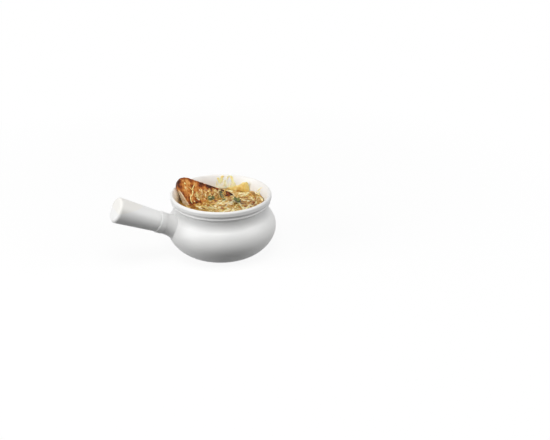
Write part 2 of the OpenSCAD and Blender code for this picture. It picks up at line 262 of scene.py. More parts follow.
sideways = served((1, 0, 0))
forward = served((0, math.cos(EYE_PITCH), -math.sin(EYE_PITCH)))
upward = np.cross(sideways, forward)
across = (PICTURE[0] / 2 - FOOT_PX[0]) * EYE_DISTANCE / FOCAL_PX
down = (FOOT_PX[1] - PICTURE[1] / 2) * EYE_DISTANCE / FOCAL_PX
eye = across * sideways + down * upward - EYE_DISTANCE * forward

lens = bpy.data.cameras.new("eye")
lens.sensor_fit = "HORIZONTAL"
lens.lens = lens.sensor_width * FOCAL_PX / PICTURE[0]
lens.clip_start = 0.01
camera = bpy.data.objects.new("eye", lens)
turned = Matrix((sideways, upward, -forward)).transposed()
camera.matrix_world = Matrix.Translation(Vector(eye * MM)) @ turned.to_4x4()
bpy.context.scene.collection.objects.link(camera)
bpy.context.scene.camera = camera
bpy.context.scene.view_settings.view_transform = "Standard"
print("camera at", [round(value * MM, 3) for value in eye], "lens", round(lens.lens, 1))


# %% Helpers for node trees
def link(tree, source, target):
    """Feed an input from a socket, or set it to a plain value."""
    if isinstance(source, bpy.types.NodeSocket):
        tree.links.new(source, target)
    else:
        target.default_value = source


def principled(name, **plain):
    """Material, tree and shader of one Principled shader. Constant sockets are set on it directly."""
    material = bpy.data.materials.new(name)
    material.use_nodes = True
    tree = material.node_tree
    shader = tree.nodes["Principled BSDF"]
    for socket, value in plain.items():
        shader.inputs[socket.replace("_", " ")].default_value = value
    return material, tree, shader


def coordinates(tree):
    """Outputs of a Texture Coordinate node, of which Object and Normal are used."""
    return tree.nodes.new("ShaderNodeTexCoord").outputs


def math_node(tree, operation, first, second):
    """One Math node. Each input is a socket or a number."""
    node = tree.nodes.new("ShaderNodeMath")
    node.operation = operation
    for target, value in zip(node.inputs, (first, second)):
        link(tree, value, target)
    return node.outputs["Value"]


def product(tree, first, *others):
    """Product of sockets or numbers, by one Math node after another."""
    for other in others:
        first = math_node(tree, "MULTIPLY", first, other)
    return first


def vector_node(tree, operation, *values):
    """Outputs of one Vector Math node. Each input is a socket or three numbers."""
    node = tree.nodes.new("ShaderNodeVectorMath")
    node.operation = operation
    for target, value in zip(node.inputs, values):
        link(tree, value, target)
    return node.outputs


def remap(tree, source, low, high, new_low, new_high):
    """Map Range from one span to another, held at its ends."""
    node = tree.nodes.new("ShaderNodeMapRange")
    for socket, value in zip(("From Min", "From Max", "To Min", "To Max"), (low, high, new_low, new_high)):
        node.inputs[socket].default_value = value
    link(tree, source, node.inputs["Value"])
    return node.outputs["Result"]


def mixed(tree, share, first, second):
    """Mix of two shaders by a share."""
    node = tree.nodes.new("ShaderNodeMixShader")
    for target, value in zip(node.inputs, (share, first, second)):
        link(tree, value, target)
    return node.outputs["Shader"]


def seen_directly(tree):
    """1 for rays from the eye, also by a mirror or through glass, and 0 for rays that only carry light."""
    path = tree.nodes.new("ShaderNodeLightPath").outputs
    mirror_or_glass = math_node(tree, "MAXIMUM", path["Is Glossy Ray"], path["Is Transmission Ray"])
    return math_node(tree, "MAXIMUM", path["Is Camera Ray"], mirror_or_glass)


# %% Floor
FLOOR_HALF = 2.5
FADE_NEAR = 0.2
FADE_FAR = 0.55
FLOOR_GREY = 0.1
FLOOR_GLOW = 0.9
floor_mesh = bpy.data.meshes.new("floor")
floor_corners = FLOOR_HALF * np.array([(-1, -1, 0), (1, -1, 0), (1, 1, 0), (-1, 1, 0)])
floor_mesh.from_pydata(floor_corners.tolist(), [], [(0, 1, 2, 3)])
floor = bpy.data.objects.new("floor", floor_mesh)
bpy.context.scene.collection.objects.link(floor)

paper, tree, shader = principled(
    "floor_paper", Base_Color=(FLOOR_GREY, FLOOR_GREY, FLOOR_GREY, 1), Roughness=1.0, Specular_IOR_Level=0.0
)
seen = seen_directly(tree)
distance = vector_node(tree, "LENGTH", coordinates(tree)["Object"])["Value"]
far = product(tree, remap(tree, distance, FADE_NEAR, FADE_FAR, 0, 1), seen)
glow = tree.nodes.new("ShaderNodeEmission")
link(tree, product(tree, seen, FLOOR_GLOW), glow.inputs["Strength"])
near = tree.nodes.new("ShaderNodeAddShader")
link(tree, shader.outputs["BSDF"], near.inputs[0])
link(tree, glow.outputs["Emission"], near.inputs[1])
white = tree.nodes.new("ShaderNodeEmission")
surface = mixed(tree, far, near.outputs["Shader"], white.outputs["Emission"])
link(tree, surface, tree.nodes["Material Output"].inputs["Surface"])
floor_mesh.materials.append(paper)
print("floor is", 2 * FLOOR_HALF, "m across")

# %% [markdown]
# ## Light
# The glaze is brightest on the left shoulder and on the end of the handle, and it darkens evenly towards
# the foot. A picture of a studio could light it, but three soft lamps do the same with numbers that can be
# read: a large one from the left, one overhead and a weaker one from the right, with little light from
# below. Each level is how bright that lamp alone makes a white card that faces it. No side of the crock
# faces more than one of them squarely, so the levels may add up to more than 1.

# %% Softboxes
AIM_HEIGHT = 0.04


def softbox(name, direction, level, distance=1.4, size=0.9):
    """Square lamp in a direction (right, away, up). level is how bright it makes a white card facing it."""
    lamp = bpy.data.lights.new(name, "AREA")
    lamp.size = size
    lamp.energy = level * math.pi ** 2 * distance ** 2
    holder = bpy.data.objects.new(name, lamp)
    towards = Vector(served(direction)).normalized()
    holder.location = towards * distance + Vector((0, 0, AIM_HEIGHT))
    holder.rotation_mode = "QUATERNION"
    holder.rotation_quaternion = towards.to_track_quat("Z", "Y")
    bpy.context.scene.collection.objects.link(holder)


softbox("key_left", (-0.88, -0.36, 0.38), level=0.7)
softbox("overhead", (0.0, -0.36, 1.0), level=0.51)
softbox("fill_right", (0.9, -0.25, 0.55), level=0.42)

# %% World: faint light from all round, and white where the eye looks past the floor
AMBIENT = 0.12
world = bpy.data.worlds.new("studio")
bpy.context.scene.world = world
world.use_nodes = True
tree = world.node_tree
ambient = tree.nodes["Background"]
backdrop = tree.nodes.new("ShaderNodeBackground")
for background in (ambient, backdrop):
    background.inputs["Color"].default_value = (1, 1, 1, 1)
ambient.inputs["Strength"].default_value = AMBIENT
surface = mixed(tree, seen_directly(tree), ambient.outputs["Background"], backdrop.outputs["Background"])
link(tree, surface, tree.nodes["World Output"].inputs["Surface"])
print("light from all round:", AMBIENT)

# %% [markdown]
# ## Glaze
# The crock is white stoneware under a satin glaze. A glaze is never quite flat or quite white: it has a
# slow swell where it ran, a fine skin like orange peel, a white that drifts, and a warmer tone on the
# crown, where it thins. Inside, soup stains the wall just above the broth. On the left the inner wall has a
# painted shade: it is darkened and warmed for the shadow of the lip and the toast and the light the toast
# throws there. The foot ring is wiped clean before firing, so there the dry, sandy body shows. All this
# could be painted on. We find each place by its height, its radius and the way the surface faces, so the
# masks follow the bowl.

# %% Helpers for patterns
def noise(tree, size_mm, detail=3.0, roughness=0.5):
    """Noise on Object coordinates, with features of about that many millimetres. Returns its value socket."""
    texture = tree.nodes.new("ShaderNodeTexNoise")
    texture.inputs["Scale"].default_value = 1 / (size_mm * MM)
    texture.inputs["Detail"].default_value = detail
    texture.inputs["Roughness"].default_value = roughness
    link(tree, coordinates(tree)["Object"], texture.inputs["Vector"])
    return texture.outputs["Fac"]


def patchy(tree, size_mm, detail, low, high, roughness=0.5, tail=0.3):
    """Noise that wanders from low to high. Beyond tail and 1 - tail the noise is held at the ends."""
    return remap(tree, noise(tree, size_mm, detail, roughness), tail, 1 - tail, low, high)


def ramp(tree, source, stops):
    """Colour ramp over a value: stops is a list of (place, colour)."""
    band = tree.nodes.new("ShaderNodeValToRGB")
    while len(band.color_ramp.elements) < len(stops):
        band.color_ramp.elements.new(0.5)
    for element, (spot, colour) in zip(band.color_ramp.elements, stops):
        element.position = spot
        element.color = colour
    link(tree, source, band.inputs["Fac"])
    return band.outputs["Color"]


def tint(tree, share, first, second):
    """Mix two colours by a share. Each colour is a socket or a plain colour."""
    node = tree.nodes.new("ShaderNodeMix")
    node.data_type = "RGBA"
    colours = [socket for socket in node.inputs if socket.type == "RGBA"]
    for target, value in zip(colours, (first, second)):
        link(tree, value, target)
    link(tree, share, node.inputs["Factor"])
    return [socket for socket in node.outputs if socket.type == "RGBA"][0]


def bump(tree, shader, height, depth_mm):
    """Relief of about depth_mm from a 0 to 1 height, added to what the shader's normal already has."""
    node = tree.nodes.new("ShaderNodeBump")
    node.inputs["Strength"].default_value = 1.0
    node.inputs["Distance"].default_value = depth_mm * MM
    link(tree, height, node.inputs["Height"])
    if shader.inputs["Normal"].is_linked:
        link(tree, shader.inputs["Normal"].links[0].from_socket, node.inputs["Normal"])
    link(tree, node.outputs["Normal"], shader.inputs["Normal"])


# %% Places on the glaze
CROWN_BAND = 0.9
WALL_FLARE = 0.25    # the line that parts inside from outside leans out this much per millimetre of height
WALL_ROOM = 3.6      # and at the broth's height it stands this far past the broth's edge
WET_BAND = 4
glaze, tree, shader = principled("white_glaze", IOR=1.5)
spot = coordinates(tree)
parts = tree.nodes.new("ShaderNodeSeparateXYZ")
link(tree, spot["Object"], parts.inputs["Vector"])
x, z = parts.outputs["X"], parts.outputs["Z"]
flat = vector_node(tree, "MULTIPLY", spot["Object"], (1, 1, 0))["Vector"]
outward = vector_node(tree, "DOT_PRODUCT", flat, spot["Normal"])["Value"]
radius = vector_node(tree, "LENGTH", flat)["Value"]


def between(tree, source, start_mm, end_mm, share=1):
    """0 at start_mm and share at end_mm, on a socket in metres."""
    return remap(tree, source, start_mm * MM, end_mm * MM, 0, share)


upright = math_node(tree, "SUBTRACT", radius, product(tree, z, WALL_FLARE))
inner_side = soup_r + WALL_ROOM - WALL_FLARE * soup_z
from_soup_up = between(tree, z, soup_z - 6, soup_z - 4)
within = between(tree, upright, inner_side + 0.6, inner_side)
inside = product(tree, from_soup_up, within, between(tree, outward, 0, -8))
crown_edge = between(tree, z, crown_z - CROWN_BAND, crown_z, 0.6)
wet = between(tree, z, soup_z + WET_BAND, soup_z)
# Painted shade: the left inner wall, strongest low down near the broth, stands in for the shadow of the lip and
# toast and their warm bounce
painted_shade_left = between(tree, x, 0.4 * soup_r, -0.9 * soup_r, 0.9)
painted_shade_low = between(tree, z, crown_z + 2, soup_z + 5)
dry_foot = between(tree, z, 0.9, 0.5)
print(f"the wall counts as inside to {inner_side + WALL_FLARE * crown_z:.1f} mm from the axis at the crown")

# %% White glaze on the bowl and the grip
COOL_WHITE, WARM_WHITE = (0.83, 0.832, 0.825, 1), (0.875, 0.873, 0.862, 1)
CROWN_TONE = (0.85, 0.825, 0.77, 1)
SOUP_STAIN = (0.62, 0.44, 0.2, 1)
# Colour of the painted shade on the left inner wall: shadow warmed by light off the toast
PAINTED_SHADE_TINT = (0.64, 0.51, 0.32, 1)
DARK_SAND, PALE_SAND = (0.5, 0.44, 0.35, 1), (0.68, 0.62, 0.52, 1)
DRY_ROUGHNESS = 0.85
colour = ramp(tree, noise(tree, 38, 2), [(0.3, COOL_WHITE), (0.7, WARM_WHITE)])
colour = tint(tree, crown_edge, colour, CROWN_TONE)
colour = tint(tree, product(tree, inside, wet, noise(tree, 6, 3)), colour, SOUP_STAIN)
# the painted shade on the left inner wall
colour = tint(tree, product(tree, inside, painted_shade_left, painted_shade_low), colour, PAINTED_SHADE_TINT)
sand = ramp(tree, noise(tree, 0.5, 4, 0.7), [(0.3, DARK_SAND), (0.7, PALE_SAND)])
link(tree, tint(tree, dry_foot, colour, sand), shader.inputs["Base Color"])
satin = patchy(tree, 9, 3, low=0.4, high=0.48)
dry = product(tree, dry_foot, DRY_ROUGHNESS)
link(tree, math_node(tree, "MAXIMUM", satin, dry), shader.inputs["Roughness"])
bump(tree, shader, noise(tree, 18, 1), depth_mm=0.09)
bump(tree, shader, noise(tree, 1.6, 2), depth_mm=0.004)
for node in ("crock_bowl", "handle_grip"):
    for holder in frame["nodes"][node].material_slots:
        holder.material = glaze
print("glaze on", [n for n, o in frame["nodes"].items() if glaze.name in [s.name for s in o.material_slots]])

# %% [markdown]
# ## Finishes of the food
# Melted cheese and onion are wet and a little see-through, so they take a gloss and some scattering under
# the surface. Broth is darker and shinier, and toast is dull and rough. One pattern in space could colour
# them all, but each piece browns in its own way: the raft in patches, a thread at its end, the toast along
# its rim. So every mesh but the broth's carries its tone as an attribute, and its finish turns that into a
# colour, with a fine grain on top.

# %% Cheese and onion
def srgb(red, green, blue):
    """Linear colour of a screen colour given in 0 to 255."""
    value = np.array([red, green, blue]) / 255
    linear = np.where(value > 0.04045, ((value + 0.055) / 1.055) ** 2.4, value / 12.92)
    return (*[float(v) for v in linear], 1.0)


def attribute(tree, name):
    """Value of a piece's own attribute."""
    reader = tree.nodes.new("ShaderNodeAttribute")
    reader.attribute_name = name
    return reader.outputs["Fac"]


PALE_CHEESE = srgb(248, 236, 192)
STRAW = srgb(216, 184, 108)
GOLD = srgb(198, 146, 64)
AMBER = srgb(164, 102, 46)
BROWNED = srgb(100, 50, 26)


def cheese_finish(name, stops, rough, scatter, speckle):
    """Melted cheese: colour from the attribute browning with a fine grain, soft gloss, scattering below."""
    material, tree, shader = principled(
        name, IOR=1.4, Subsurface_Weight=scatter,
        Subsurface_Scale=1.5 * MM, Subsurface_Radius=(1.0, 0.6, 0.25)
    )
    grain = patchy(tree, 1.3, 4, -speckle, speckle, roughness=0.65, tail=0.25)
    browning = math_node(tree, "ADD", attribute(tree, "browning"), grain)
    link(tree, ramp(tree, browning, stops), shader.inputs["Base Color"])
    link(tree, patchy(tree, 3, 3, rough - 0.1, rough + 0.12), shader.inputs["Roughness"])
    bump(tree, shader, noise(tree, 2.2, 3), depth_mm=1.6 * speckle)
    bump(tree, shader, noise(tree, 0.6, 3), depth_mm=0.4 * speckle)
    return material


gratin_finish = cheese_finish("melted_cheese", [
    (0.0, PALE_CHEESE), (0.25, STRAW), (0.5, GOLD), (0.75, AMBER), (1.0, BROWNED),
], rough=0.24, scatter=0.2, speckle=0.09)
wisp_finish = cheese_finish("pale_cheese", [
    (0.0, srgb(252, 248, 230)), (0.35, srgb(246, 230, 164)), (0.7, srgb(232, 200, 108)), (1.0, GOLD),
], rough=0.36, scatter=0.3, speckle=0.06)
fold_finish = cheese_finish("folded_cheese", [
    (0.0, srgb(252, 236, 170)), (0.5, srgb(242, 212, 128)), (1.0, srgb(208, 154, 66)),
], rough=0.3, scatter=0.2, speckle=0.06)
onion_finish = cheese_finish("onion", [
    (0.0, srgb(246, 234, 184)), (0.4, srgb(210, 174, 88)), (0.75, srgb(170, 120, 44)), (1.0, AMBER),
], rough=0.18, scatter=0.3, speckle=0.06)
print("finishes:", [m.name for m in (gratin_finish, wisp_finish, fold_finish, onion_finish)])

# %% Broth, toast and thyme
broth_finish, tree, shader = principled("broth", IOR=1.34)
broth_tones = [(0.3, srgb(130, 86, 28)), (0.55, srgb(168, 124, 48)), (0.75, srgb(198, 158, 78))]
link(tree, ramp(tree, noise(tree, 14, 3), broth_tones), shader.inputs["Base Color"])
link(tree, patchy(tree, 5, 2, 0.05, 0.16), shader.inputs["Roughness"])
bump(tree, shader, noise(tree, 7, 2), depth_mm=0.2)

toast_finish, tree, shader = principled("toast", IOR=1.4, Specular_IOR_Level=0.25)
grain = patchy(tree, 0.9, 5, -0.13, 0.13, roughness=0.7, tail=0.25)
toast_tones = [
    (0.0, srgb(253, 240, 216)), (0.25, srgb(226, 170, 98)), (0.48, srgb(190, 116, 48)),
    (0.68, srgb(140, 70, 26)), (0.85, srgb(84, 40, 18)), (1.0, srgb(42, 22, 14)),
]
colour = ramp(tree, math_node(tree, "ADD", attribute(tree, "toasting"), grain), toast_tones)
link(tree, colour, shader.inputs["Base Color"])
link(tree, patchy(tree, 4, 3, 0.42, 0.75), shader.inputs["Roughness"])
bump(tree, shader, noise(tree, 1.1, 4, 0.65), depth_mm=0.3)

thyme_finish, tree, shader = principled(
    "thyme", Roughness=0.45, Subsurface_Weight=0.1, Subsurface_Scale=0.5 * MM
)
thyme_tones = [
    (0.0, srgb(52, 56, 14)), (0.5, srgb(104, 108, 34)),
    (0.85, srgb(170, 166, 88)), (1.0, srgb(226, 216, 170)),
]
leaf_tone = math_node(tree, "ADD", attribute(tree, "tone"), patchy(tree, 1.2, 3, -0.2, 0.2))
link(tree, ramp(tree, leaf_tone, thyme_tones), shader.inputs["Base Color"])
bump(tree, shader, noise(tree, 0.5, 2), depth_mm=0.05)
print("finishes:", [m.name for m in (broth_finish, toast_finish, thyme_finish)])

# %% [markdown]
# ## Broth
# The liquid fills the bowl and climbs the wall a little where it touches it. A revolve would do for a still
# liquid. We carry the same rings up the wall and back to the middle, and let slow ripples lift the top.

# %% Broth
WALL_RINGS, TOP_RINGS, ROUND = 18, 40, 160
MENISCUS, MENISCUS_REACH = 0.8, 1.5
RIPPLE = 0.16
TOP_DIP = 0.2
around = np.linspace(0, 2 * np.pi, ROUND, endpoint=False)


def broth_rings():
    """Rings up the wall, then in over the surface: radius and height, plus a meniscus that fades inwards."""
    climb = np.linspace(soup_floor, soup_z - 2 * TOP_DIP, WALL_RINGS)
    inward = np.linspace(1, 0.02, TOP_RINGS)
    radius = np.concatenate([wall_radius(climb) - WALL_GAP, inward * soup_r])[:, None]
    meniscus = MENISCUS * np.exp(-soup_r * (1 - inward) / MENISCUS_REACH)
    height = np.concatenate([climb, soup_z - TOP_DIP + meniscus])[:, None]
    flat = joined(*polar(radius, around))
    top = (np.arange(WALL_RINGS + TOP_RINGS) > WALL_RINGS)[:, None]
    ripple = RIPPLE * waves(flat, 11, 21) * top
    return served(np.concatenate([flat, (height + ripple)[..., None]], axis=-1))


broth = one_skin("broth_pool", broth_rings())
place(broth, "crock", "broth", broth_finish, "broth")

# %% [markdown]
# ## Melted cheese
# Grated cheese melts into a lumpy raft that floats on the broth. It thins towards the front left, ends in a
# frayed edge and is heaped against the wall on the right. Its spots brown first, and the back stays pale.
# It could be sculpted. Ours is a height over the flat, worked out on rings and spokes, so the same function
# can also lay the loose strands and the thyme on it.

# %% Reach of the raft
CHEESE_T = 3.4
BARE_W = 17
BARE_AT = math.radians(-110)
EDGE_GAP = 0.8
BANK_STARTS, BANK_ENDS = (-12, 16), (62, 38)    # degrees round the bowl


def banked(angle):
    """1 where the cheese is heaped against the wall, at the right, and 0 elsewhere."""
    turn = np.degrees(angle)
    return ease(turn, *BANK_STARTS) * ease(turn, *BANK_ENDS)


def raft_edge(angle):
    """Reach of the raft: the broth's radius, less the bare part at the front, less a frayed ripple."""
    frayed = 1.2 * (1 + np.sin(7 * angle)) / 2 + 0.5 * np.sin(19 * angle + 1) + 0.4 * np.sin(31 * angle)
    bare = BARE_W * ((1 + np.cos(angle - BARE_AT)) / 2) ** 2
    return soup_r - bare - (EDGE_GAP + frayed) * (1 - banked(angle))


RAFT_ROUND = 240
spokes = np.linspace(0, 2 * np.pi, RAFT_ROUND, endpoint=False)
print(f"the raft reaches {raft_edge(spokes).min():.1f} to {raft_edge(spokes).max():.1f} mm from the middle")

# %% Height of the raft, measured on its solid
RAFT_HALF = 51
RAFT_STEP = 1.5
BANK_T, BANK_W = 4.4, 11
FRONT_LEFT = (-0.75, -0.66)
THINNED = 0.7
EDGE_DIP = 0.5
NO_SOLID_RISE = 0.8 * CHEESE_T
raft_places = np.arange(-RAFT_HALF, RAFT_HALF + 0.1, RAFT_STEP)


def raft_hit(x, y):
    """Height of the solid's top above the broth, or most of the raft's thickness where there is no solid."""
    solid = frame["nodes"]["melted_cheese"]
    hit, spot = solid.ray_cast((x * MM, y * MM, crown_z * MM), (0, 0, -1))[:2]
    return spot.z / MM - soup_z if hit else NO_SOLID_RISE


raft_solid = np.array([[raft_hit(x, y) for x in raft_places] for y in raft_places])
raft_solid = sum(np.roll(raft_solid, (i, j), (0, 1)) for i in (-1, 0, 1) for j in (-1, 0, 1)) / 9


def raft_rise(right, away):
    """Height of the cheese above the broth: the solid's, read between grid places, with a fine crinkle,
    thinner towards the front left, gone at the frayed edge and heaped at the wall on the right."""
    spots = joined(right, away)
    x, y, _ = np.moveaxis(served(joined(right, away, 0.0)), -1, 0)
    i, j = ((v - raft_places[0]) / RAFT_STEP for v in (x, y))
    i0, j0 = (np.clip(np.floor(v).astype(int), 0, len(raft_places) - 2) for v in (i, j))
    u, v = i - i0, j - j0
    near = raft_solid[j0, i0] * (1 - u) + raft_solid[j0, i0 + 1] * u
    far = raft_solid[j0 + 1, i0] * (1 - u) + raft_solid[j0 + 1, i0 + 1] * u
    body = near * (1 - v) + far * v + 0.16 * waves(spots, 5, 31) + 0.07 * waves(spots, 2.2, 33)
    thin = 1 - THINNED * ease(FRONT_LEFT[0] * right + FRONT_LEFT[1] * away, -4, 28)
    angle = np.arctan2(away, right)
    out = np.hypot(right, away)
    shore = ease(out / raft_edge(angle), 1.02, 0.86)
    bank = BANK_T * banked(angle) * ease(out, soup_r - BANK_W, soup_r) * (1 + 0.12 * waves(spots, 6, 35))
    return body * thin * shore - EDGE_DIP * (1 - shore) + bank


print(f"the solid rises {raft_solid.min():.1f} to {raft_solid.max():.1f} mm over the broth")


# %% Raft of cheese
def raft_browning(right, away):
    """Browning from 0 to 1: patchy, streaked along the strands, more on both sides and less at the back."""
    spots = joined(right, away)
    drift = 0.12 * waves(spots, 11, 41) + 0.06 * waves(spots, 4, 42) + 0.09 * waves(spots / (3, 1), 2.4, 44)
    spotted = 0.3 * ease(waves(spots, 5, 43), 1.1, 2.0)
    side = 0.14 * ease(right, -8, -30) + 0.22 * ease(right, 12, 28) * ease(away, 16, 2)
    back = 0.2 * ease(away, 18, 32)
    return np.clip(0.42 + 1.5 * drift + spotted + side - back, 0, 1)


RAFT_RINGS = 96
UNDER_STEP = 6      # the underside has every sixth ring of the top
UNDER_DEPTH = 0.9
share = np.linspace(0.012, 1, RAFT_RINGS)[:, None]
right, away = polar(share * raft_edge(spokes), spokes)
browning = raft_browning(right, away)
top = joined(right, away, soup_z + raft_rise(right, away))
under = joined(right[::-UNDER_STEP], away[::-UNDER_STEP], soup_z - UNDER_DEPTH)
rings = served(np.concatenate([top, under]))
raft = one_skin("cheese_raft", rings, browning=np.concatenate([browning, browning[::-UNDER_STEP]]))
place(raft, "crock", "melted_cheese", gratin_finish, "melted_cheese")

# %% [markdown]
# ## Loose strands
# Shreds of cheese and arcs of onion lie on the raft and give the soup its stringy look, with a few curds
# and browned crumbs between them. A particle system could scatter them. Here each one is an ellipse carried
# along a short arc and laid on the height of the raft, and all strands of a kind are one array, so a
# hundred of them cost one call. Those that would run into the toast or the wall are left out by a mask.

# %% A section carried along a path
def carry(path, side, up, half_width, half_thick, sides=8, cup=0.0):
    """Rings of an ellipse carried along k paths: path + side * half_width * cos + up * half_thick * sin.

    path, side and up are [k, n, 3]; the half sizes are [k, n]. cup lifts the edges, as on a leaf."""
    turn = np.linspace(0, 2 * np.pi, sides, endpoint=False)
    out = half_width[..., None] * np.cos(turn)
    rise = half_thick[..., None] * np.sin(turn) + cup * np.abs(out)
    return path[:, :, None] + side[:, :, None] * out[..., None] + up[:, :, None] * rise[..., None]


def taper(n, blunt=0.35):
    """Share of the full size at n stations along a strand: a blunt oval that closes at both ends."""
    t = np.linspace(-1, 1, n + 2)[1:-1]
    return (1 - t * t) ** blunt


print("a strand's size at five stations:", taper(5).round(2))

# %% Lay arcs on the soup
TOAST_ROOM = 1.0
TOAST_CHEESE_ROOM = 2.0
ACROSS_ROOM = 0.05 * toast_w
STRAND_WALL_GAP = 1.6
LOWEST_RISE = -0.2
SWAY = 0.25


def inside_toast(points):
    """True where points of the model's frame lie within the slice or its cheese, with a little room."""
    a = points @ toast_along - toast_a0
    b = points @ toast_across - toast_b0
    h = points @ toast_up - toast_h0
    top = ZERO_SHARE * toast_w
    along = (a > -TOAST_ROOM) & (a < toast_len + TOAST_ROOM)
    across = (b > top - toast_w - ACROSS_ROOM) & (b < top + ACROSS_ROOM)
    return along & across & (h > -toast_t - TOAST_ROOM) & (h < TOAST_CHEESE_ROOM)


def laid_arcs(middle, heading, length, bend, half_w, half_t, lift_mm, seed, n=9, sides=6):
    """Strands on the soup: arcs of radius bend through middle, on the raft plus lift_mm and a slow sway."""
    t = np.linspace(-1, 1, n + 2)
    angle = heading[:, None] + t * (length / (2 * bend))[:, None]
    right = middle[:, :1] + bend[:, None] * (np.sin(angle) - np.sin(heading)[:, None])
    away = middle[:, 1:] - bend[:, None] * (np.cos(angle) - np.cos(heading)[:, None])
    rise = np.maximum(raft_rise(right, away), LOWEST_RISE)
    sway = SWAY * waves(joined(right, away), 6, seed)
    path = served(joined(right, away, soup_z + rise + lift_mm + sway))
    across = served(joined(-np.sin(angle), np.cos(angle), 0.0))[:, 1:-1]
    clear = np.hypot(path[..., 0], path[..., 1]) < wall_radius(path[..., 2]) - STRAND_WALL_GAP
    keep = clear.all(axis=1) & ~inside_toast(path).any(axis=1)
    upward = np.broadcast_to((0.0, 0.0, 1.0), across.shape)
    size = taper(n)
    rings = carry(path[:, 1:-1], across, upward, half_w[:, None] * size, half_t[:, None] * size, sides)
    return rings[keep], path[keep, 0], path[keep, -1], right[keep, 1:-1], away[keep, 1:-1], keep


# %% Shreds of cheese
SHREDS = 120
DARK_SHARE = 0.16
draw = np.random.default_rng(5)
angle = draw.normal(0.2, 1.05, SHREDS)
radius = np.sqrt(draw.uniform(0.0, 1.0, SHREDS)) * raft_edge(angle) * 0.97
heading = draw.normal(0.6, 0.32, SHREDS)
length = draw.uniform(12, 28, SHREDS)
bend = draw.choice([-1, 1], SHREDS) * draw.uniform(18, 60, SHREDS)
half_w = draw.uniform(0.8, 1.8, SHREDS)
half_t = draw.uniform(0.3, 0.55, SHREDS)
rings, first, last, right, away, keep = laid_arcs(
    joined(*polar(radius, angle)), heading, length, bend, half_w, half_t, lift_mm=0.1, seed=51
)
shade = draw.uniform(-0.6, 0.14, SHREDS) + 0.34 * (draw.uniform(size=SHREDS) < DARK_SHARE)
browning = np.clip(raft_browning(right, away) + shade[keep][:, None], 0, 1)[..., None]
shreds = skin("cheese_shreds", rings, first, last, {"browning": browning})
place(shreds, "crock", "melted_cheese", gratin_finish)

# %% Arcs of onion
ONIONS = 120
draw = np.random.default_rng(8)
angle = draw.normal(-1.7, 0.95, ONIONS)
radius = soup_r * np.sqrt(draw.uniform(0.03, 0.93, ONIONS))
heading = 0.75 * (angle + np.pi / 2) + draw.normal(0.15, 0.2, ONIONS)
length = draw.uniform(14, 30, ONIONS)
bend = draw.uniform(22, 60, ONIONS)
half_w = draw.uniform(1.0, 2.0, ONIONS)
half_t = draw.uniform(0.28, 0.5, ONIONS)
rings, first, last, right, away, keep = laid_arcs(
    joined(*polar(radius, angle)), heading, length, bend, half_w, half_t, lift_mm=0.08, seed=61
)
tone = 0.43 + draw.uniform(-0.42, 0.42, ONIONS)[keep][:, None] + 0.3 * ease(right, -6, -28)
onions = skin("onion_arcs", rings, first, last, {"browning": np.clip(tone, 0, 1)[..., None]})
place(onions, "crock", "onion", onion_finish, "onion_strands")

# %% Curds and browned crumbs
CURD_PLACES = np.array([
    (-22.6, -9.9), (-17.9, -1.4), (-6.0, -7.5), (9.0, -3.0), (31.0, 6.0), (36.0, 14.0), (14.0, -19.0),
    (2.2, -15.5), (-12.3, -22.0), (-14.0, -4.0), (28.0, -8.0), (22.0, 18.0),
])
CURD_TONES = np.array([0.0, 0.62, 0.1, 0.05, 0.0, 0.1, 0.05, 0.85, 0.6, 0.75, 0.8, 0.7])
CURDS = len(CURD_PLACES)
CURD_BEND = 40.0
draw = np.random.default_rng(21)
heading = draw.uniform(0, 3, CURDS)
length = draw.uniform(3.6, 5.6, CURDS)
half_w = draw.uniform(1.3, 2.0, CURDS)
half_t = draw.uniform(0.6, 0.9, CURDS)
rings, first, last, right, away, keep = laid_arcs(
    CURD_PLACES, heading, length, np.full(CURDS, CURD_BEND), half_w, half_t, lift_mm=0.25, seed=65
)
curds = skin("curds", rings, first, last, {"browning": CURD_TONES[keep][:, None, None]})
place(curds, "crock", "melted_cheese", gratin_finish)

# %% [markdown]
# ## Cheese on the wall
# Where the soup boiled up, threads of cheese baked on the back of the wall and on the right, with a thin
# pale film between those at the back. They could be drawn on the wall as a stain, but from the side they
# stand out from it. They are worked out in the wall's own terms, angle, height and depth, so they hug its
# curve.

# %% Threads on the wall
FOOT_SHARE = 0.6
CROWN_GAP = 0.5
WISP_TONE = 0.22
raft_top = soup_z + FOOT_SHARE * CHEESE_T
reach_up = crown_z - CROWN_GAP - raft_top


def through_three(points, n):
    """Parabolas through three points each: (1 - t)^2 A + 2 t (1 - t) C + t^2 B, with C set so that t = 1/2
    meets the middle point."""
    t = np.linspace(0, 1, n)[:, None]
    start, mid, end = (points[:, None, i] for i in range(3))
    pull = 2 * mid - (start + end) / 2
    return (1 - t) ** 2 * start + 2 * t * (1 - t) * pull + t ** 2 * end


def wall_threads(name, threads, n=18, sides=8):
    """Threads on the wall along parabolas through three places (angle in degrees, share of the free wall's
    height), thinning upwards. Each thread is its three places, its half width and how golden its end is."""
    route = through_three(np.array([thread[:3] for thread in threads], float), n + 2)
    half_width, golden = (np.array([thread[i] for thread in threads]) for i in (3, 4))
    angle = np.radians(route[..., 0])
    height = raft_top + reach_up * route[..., 1]
    t = np.linspace(0, 1, n + 2)
    size = half_width[:, None] * (1.15 - 0.55 * t) * (1 + 0.25 * waves(route, 5, 75))
    turn = np.linspace(0, 2 * np.pi, sides, endpoint=False)
    out = size[:, 1:-1, None] * np.cos(turn) / soup_r
    depth = 0.24 * size[:, 1:-1, None] * (0.8 + np.sin(turn))
    rings = on_wall(angle[:, 1:-1, None] + out, height[:, 1:-1, None], depth)
    ends = [on_wall(angle[:, i], height[:, i], 0.3 * size[:, i]) for i in (0, -1)]
    tone = (WISP_TONE + np.multiply.outer(golden, t[1:-1] ** 2))[..., None]
    return skin(name, rings, *ends, {"browning": tone})


